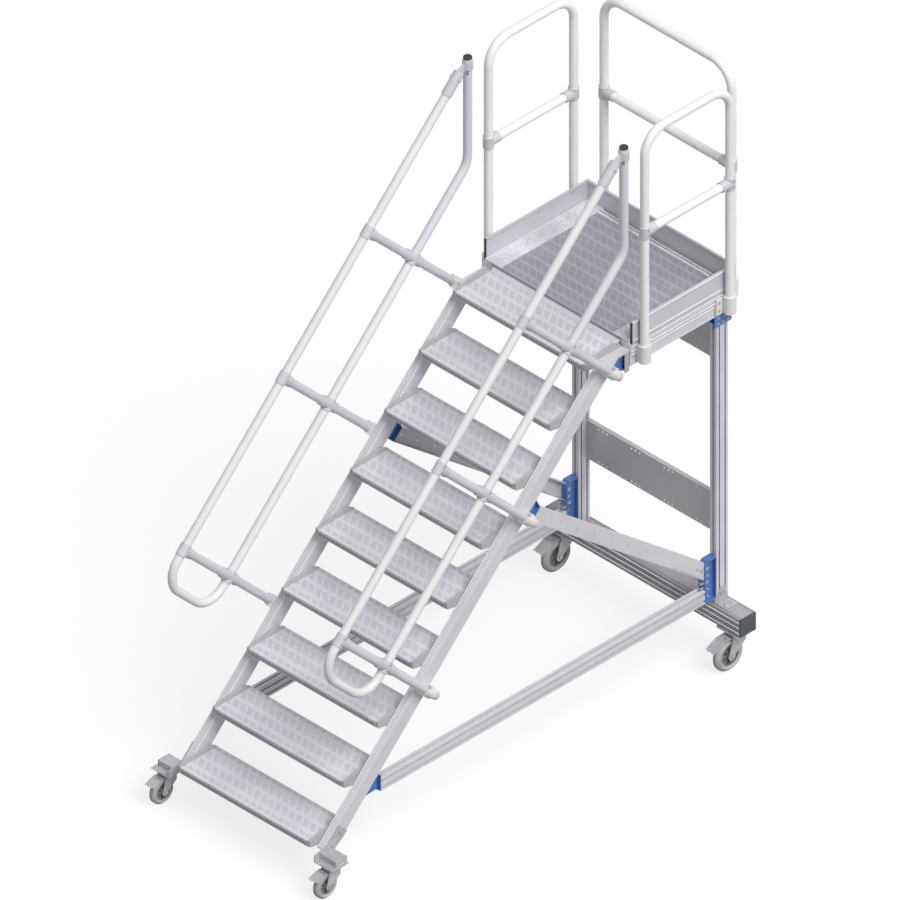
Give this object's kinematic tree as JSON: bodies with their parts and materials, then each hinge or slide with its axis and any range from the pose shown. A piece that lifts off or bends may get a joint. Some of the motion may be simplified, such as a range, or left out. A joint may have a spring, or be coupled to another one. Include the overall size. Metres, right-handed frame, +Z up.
{
  "type": "mobile platform stairs",
  "caption": "Wheeled aluminium stairs with flat treads, bent tube handrails and a guarded platform, on braked swivel castors.",
  "frame": {"origin": "on the floor, under the middle of the bounding box", "axes": "+Z up, +Y from the first tread towards the platform, +X along the treads to the climber's right"},
  "size_m": [1.18, 2.6482, 2.996],
  "materials": {
    "aluminium_profile": "plain anodised extrusion",
    "aluminium_tread": "ribbed anti-slip aluminium",
    "aluminium_deck": "ribbed anti-slip aluminium, darker",
    "cast_end_plate": "die-cast, matt",
    "blue_connector": "blue powder coat on cast brackets",
    "white_tube": "white powder coat",
    "grey_tube": "plain drawn tube",
    "cast_joint": "light grey cast joint",
    "cast_clamp": "die-cast clamp, matt",
    "zinc_steel": "zinc-plated pressed steel",
    "slate_plastic": "moulded, matt",
    "black_plastic": "moulded plug, matt",
    "hub_plastic": "moulded wheel centre, matt",
    "grey_tyre": "grey non-marking rubber"
  },
  "bodies": {
    "frame": {"stringer_right": "aluminium_profile", "stringer_left": "aluminium_profile", "rear_posts": "aluminium_profile", "lower_side_beams": "aluminium_profile", "base_beam": "aluminium_profile", "stringer_caps": "aluminium_profile", "platform_side_beams": "aluminium_profile", "platform_end_beams": "aluminium_profile", "toe_boards": "aluminium_profile", "diagonal_braces": "aluminium_profile", "cross_plates": "aluminium_profile", "treads": "aluminium_tread", "platform_deck": "aluminium_deck", "tread_end_plates": "cast_end_plate", "base_gussets": "blue_connector", "sill_brackets": "blue_connector", "brace_seats": "blue_connector", "post_heads": "blue_connector", "platform_seats": "blue_connector", "guard_rail_right": "white_tube", "guard_rail_left": "white_tube", "guard_rail_back": "white_tube", "guard_mid_rails": "white_tube", "handrail_right": "white_tube", "handrail_left": "white_tube", "handrail_brackets_right": "grey_tube", "handrail_brackets_left": "grey_tube", "guard_joints": "cast_joint", "handrail_joints": "cast_joint", "handrail_adjusters": "cast_joint", "guard_clamps": "cast_clamp", "stringer_clamps": "cast_clamp", "foot_gussets": "zinc_steel", "castor_seats": "zinc_steel", "castor_plates": "zinc_steel", "base_end_caps": "slate_plastic", "handrail_plugs": "black_plastic", "toe_board_caps": "black_plastic"},
    "castor_front_left": {"fork_front_left": "zinc_steel", "axle_front_left": "zinc_steel", "pedal_front_left": "zinc_steel"},
    "wheel_front_left": {"hub_front_left": "hub_plastic", "tyre_front_left": "grey_tyre"},
    "castor_front_right": {"fork_front_right": "zinc_steel", "axle_front_right": "zinc_steel", "pedal_front_right": "zinc_steel"},
    "wheel_front_right": {"hub_front_right": "hub_plastic", "tyre_front_right": "grey_tyre"},
    "castor_rear_left": {"fork_rear_left": "zinc_steel", "axle_rear_left": "zinc_steel", "pedal_rear_left": "zinc_steel"},
    "wheel_rear_left": {"hub_rear_left": "hub_plastic", "tyre_rear_left": "grey_tyre"},
    "castor_rear_right": {"fork_rear_right": "zinc_steel", "axle_rear_right": "zinc_steel", "pedal_rear_right": "zinc_steel"},
    "wheel_rear_right": {"hub_rear_right": "hub_plastic", "tyre_rear_right": "grey_tyre"}
  },
  "joints": [
    {"name": "swivel_front_left", "type": "hinge", "parent": "frame", "child": "castor_front_left", "pos_m": [-0.491, -1.2121, 0.145], "axis": [0, 0, 1], "continuous": true},
    {"name": "roll_front_left", "type": "hinge", "parent": "castor_front_left", "child": "wheel_front_left", "pos_m": [-0.491, -1.2521, 0.0625], "axis": [1, 0, 0], "continuous": true},
    {"name": "swivel_front_right", "type": "hinge", "parent": "frame", "child": "castor_front_right", "pos_m": [0.491, -1.2121, 0.145], "axis": [0, 0, 1], "continuous": true},
    {"name": "roll_front_right", "type": "hinge", "parent": "castor_front_right", "child": "wheel_front_right", "pos_m": [0.491, -1.2521, 0.0625], "axis": [1, 0, 0], "continuous": true},
    {"name": "swivel_rear_left", "type": "hinge", "parent": "frame", "child": "castor_rear_left", "pos_m": [-0.516, 1.1879, 0.181], "axis": [0, 0, 1], "continuous": true},
    {"name": "roll_rear_left", "type": "hinge", "parent": "castor_rear_left", "child": "wheel_rear_left", "pos_m": [-0.516, 1.1379, 0.08], "axis": [1, 0, 0], "continuous": true},
    {"name": "swivel_rear_right", "type": "hinge", "parent": "frame", "child": "castor_rear_right", "pos_m": [0.516, 1.1879, 0.181], "axis": [0, 0, 1], "continuous": true},
    {"name": "roll_rear_right", "type": "hinge", "parent": "castor_rear_right", "child": "wheel_rear_right", "pos_m": [0.516, 1.1379, 0.08], "axis": [1, 0, 0], "continuous": true}
  ]
}
